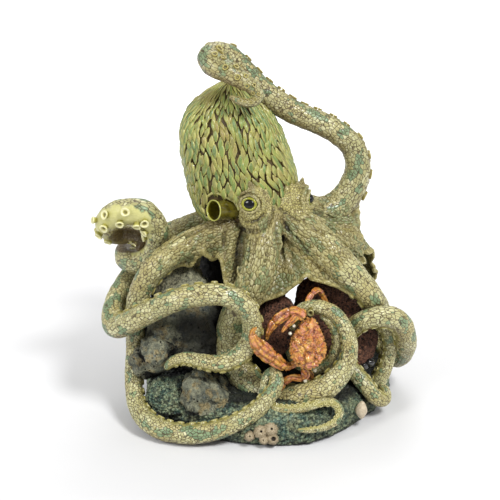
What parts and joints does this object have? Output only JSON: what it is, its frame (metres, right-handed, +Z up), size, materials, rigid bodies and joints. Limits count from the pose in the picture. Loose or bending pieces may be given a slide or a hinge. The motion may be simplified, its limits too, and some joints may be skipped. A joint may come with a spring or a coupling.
{
  "type": "octopus figurine",
  "caption": "Ceramic ornament of an octopus on a rocky base, with curled arms around a small crab; stands on a flat underside.",
  "frame": {"origin": "on the flat underside of the base, below the middle of the rock mound", "axes": "+Z up, -Y towards the front that shows both eyes and the crab, +X to the right seen from the front"},
  "size_m": [0.3398, 0.2726, 0.3834],
  "materials": {
    "octopus_skin": "satin, cream and tan scale cells with green patches and dark brown grooves",
    "web_skin": "satin, yellow-green with light edges",
    "sucker_glaze": "gloss, pale yellow",
    "mantle_glaze": "satin, green and yellow-green leaf scales",
    "rim_glaze": "gloss, yellow-green",
    "eye_glass": "high gloss, black",
    "siphon_glaze": "gloss, olive with a light rim",
    "green_rock": "matt, porous, green over black",
    "grey_rock": "matt, grey with ochre and blue tints",
    "red_rock": "matt, porous, red-brown",
    "dark_rock": "matt, black",
    "crab_glaze": "satin, orange, pink and yellow",
    "bead_glaze": "gloss, off-white",
    "barnacle_clay": "matt, beige",
    "pebble_stone": "satin, beige",
    "dark_gloss": "gloss, black"
  },
  "bodies": {
    "root": {"arm_arc": "octopus_skin", "arm_coil": "octopus_skin", "arm_front_left": "octopus_skin", "arm_front_right": "octopus_skin", "arm_loop_right": "octopus_skin", "arm_rear": "octopus_skin", "arm_ring": "octopus_skin", "arm_top": "octopus_skin", "barnacles": "barnacle_clay", "base": "green_rock", "beige_pebble": "pebble_stone", "brow_horns": "octopus_skin", "core_rock": "dark_rock", "crab_carapace": "crab_glaze", "crab_claw_lower": "crab_glaze", "crab_claw_upper": "crab_glaze", "crab_eyes": "bead_glaze", "crab_legs": "crab_glaze", "dark_pebbles": "dark_gloss", "eye_left": "eye_glass", "eye_right": "eye_glass", "eye_rims": "rim_glaze", "green_rock_left": "green_rock", "grey_boulder_front": "grey_rock", "grey_rock_ledge": "grey_rock", "grey_rock_mid": "grey_rock", "grey_rock_pitted": "grey_rock", "grey_rock_rear": "grey_rock", "grey_rock_small": "grey_rock", "grey_rock_tall": "grey_rock", "head": "octopus_skin", "mantle": "mantle_glaze", "red_rock_left": "red_rock", "red_rock_rear": "red_rock", "red_rock_right": "red_rock", "siphon": "siphon_glaze", "suckers_arc": "sucker_glaze", "suckers_coil": "sucker_glaze", "suckers_front_left": "sucker_glaze", "suckers_front_right": "sucker_glaze", "suckers_loop_right": "sucker_glaze", "suckers_rear": "sucker_glaze", "suckers_ring": "sucker_glaze", "suckers_top": "sucker_glaze", "web_centre": "web_skin", "web_left": "web_skin", "web_left_rear": "web_skin", "web_rear": "web_skin", "web_rear_left": "web_skin", "web_rear_right": "web_skin", "web_right": "web_skin"}
  },
  "joints": []
}
